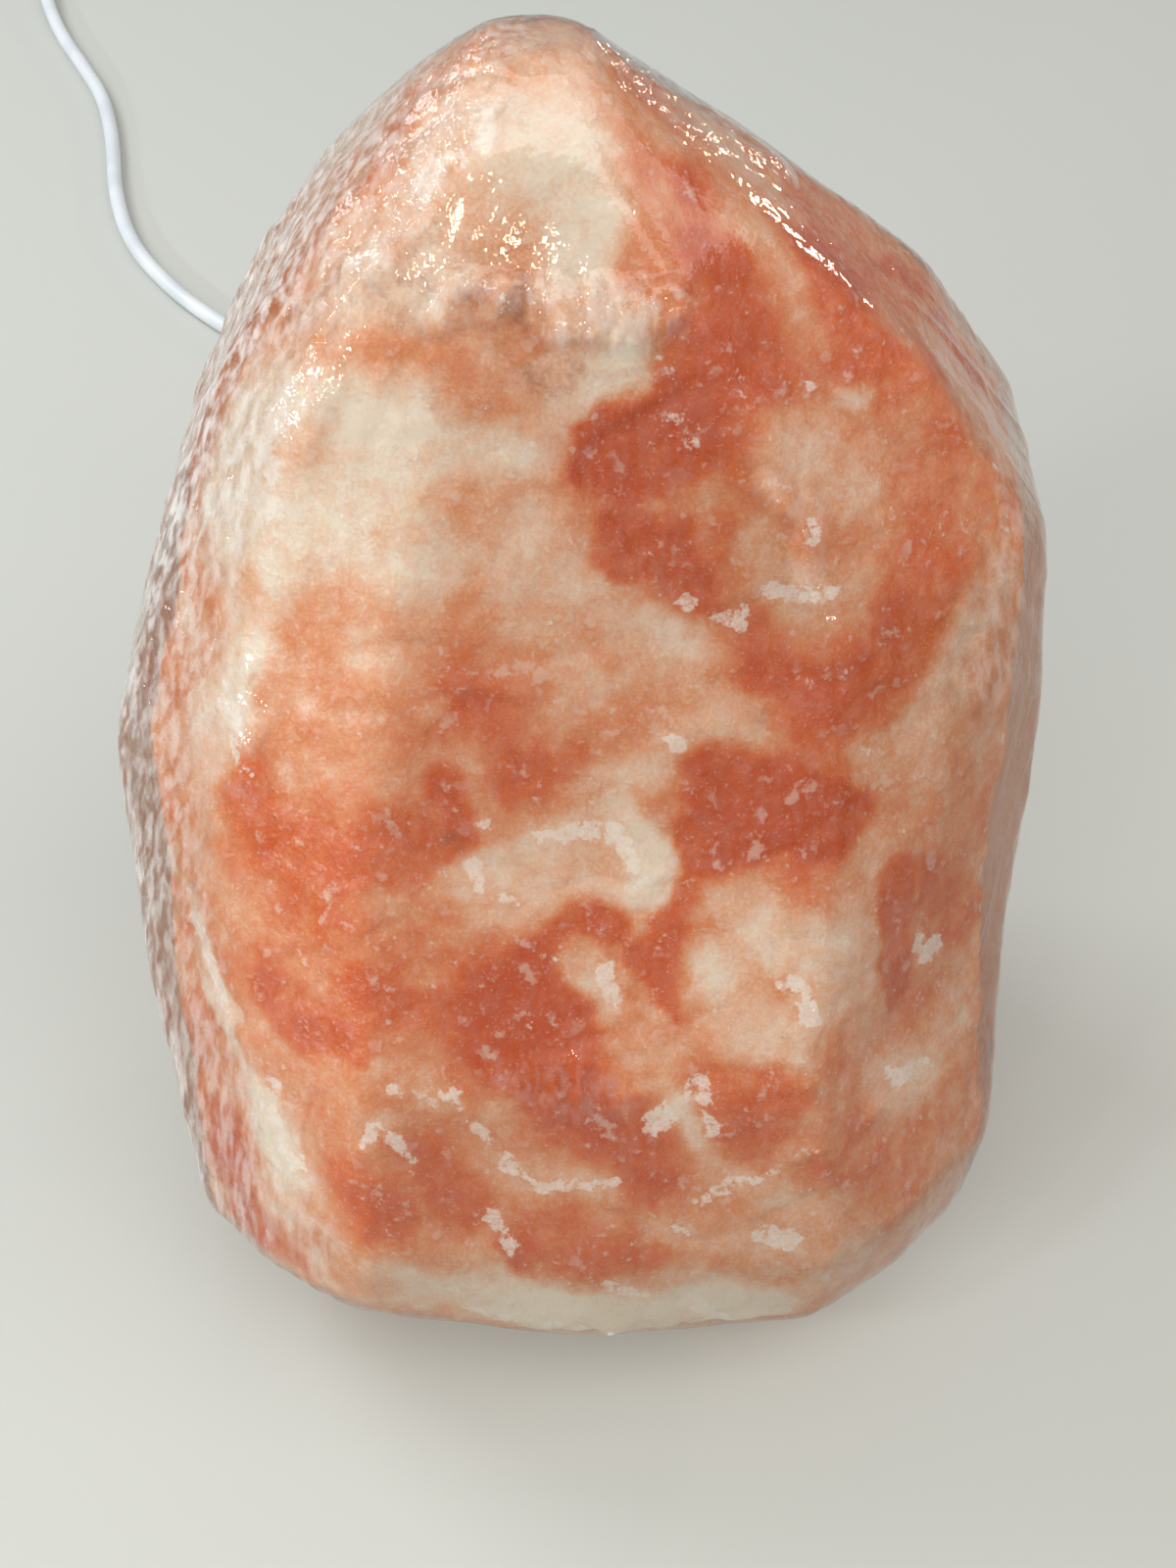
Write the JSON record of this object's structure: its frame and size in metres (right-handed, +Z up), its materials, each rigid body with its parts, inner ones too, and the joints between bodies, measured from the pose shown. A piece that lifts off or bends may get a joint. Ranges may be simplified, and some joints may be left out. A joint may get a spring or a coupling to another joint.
{
  "type": "salt crystal lamp",
  "caption": "Salt crystal lamp: a rough translucent salt block in clear film on a round wooden base, lit from a bore by a small screw bulb, with a flex, in-line rocker switch and flat plug.",
  "frame": {"origin": "on the floor, under the axis of the wooden base and the bulb's bore", "axes": "+Z up; -Y the lamp's front, which the picture looks at; +X to the viewer's right"},
  "size_m": [0.3115, 0.838, 0.2566],
  "materials": {
    "black": "black glass",
    "brass": "plain",
    "bulbcap": "plain",
    "cord": "flexible, satin",
    "film": "clear, wrinkled",
    "foot": "matt",
    "glass": "clear",
    "holder": "moulded",
    "insert": "moulded",
    "relief": "flexible, satin",
    "salt": "translucent, rough and rounded",
    "spring": "sprung, bright",
    "steel": "zinc plated",
    "tie": "flexible strip",
    "tungsten": "dark wire",
    "white": "moulded",
    "wire": "flexible",
    "wood": "oiled"
  },
  "bodies": {
    "lamp": {"salt_crystal": "salt", "shrink_film": "film", "wooden_base": "wood", "base_feet": "foot", "base_screws": "steel", "spring_clip": "spring", "threaded_nipple": "steel", "nipple_nut": "steel", "holder_cap": "holder", "cord_grip": "holder", "holder_wires": "wire", "holder_insert": "insert", "terminal_screws": "brass", "holder_shell": "holder", "socket_shell": "brass", "centre_contact": "brass", "side_contact": "brass", "cord_clip": "steel", "clip_screws": "steel", "cord_inner": "cord", "cord_run": "cord", "cord_link": "cord", "cord_coil": "cord", "cord_tail": "cord", "coil_tie": "tie", "switch_bottom": "white", "switch_top": "white", "switch_pin": "steel", "switch_contacts": "brass", "switch_screws": "steel", "switch_reliefs": "relief", "plug_body": "white", "plug_pins": "brass", "pin_sleeves": "tie", "plug_relief": "relief"},
    "bulb_carrier": {"bulb_tip": "steel"},
    "bulb": {"bulb_insulator": "black", "bulb_cap": "bulbcap", "bulb_glass": "glass", "bulb_stem": "glass", "bulb_supports": "tungsten", "bulb_filament": "tungsten"},
    "rocker": {"switch_rocker": "white"}
  },
  "joints": [
    {"name": "bulb_lift", "type": "slide", "parent": "lamp", "child": "bulb_carrier", "axis": [0, 0, 1], "range_m": [0, 0.0085]},
    {"name": "bulb_turn", "type": "hinge", "parent": "bulb_carrier", "child": "bulb", "pos_m": [0, 0, 0.08], "axis": [0, 0, 1], "range_deg": [0, 1080]},
    {"name": "switch_rocker_tilt", "type": "hinge", "parent": "lamp", "child": "rocker", "pos_m": [-0.21, 0.593, 0.0139], "axis": [1, 0, 0], "range_deg": [-18, 0]}
  ],
  "couplings": [
    {"joint": "bulb_lift", "follows": "bulb_turn", "m_per_rad": 0.00044882}
  ]
}
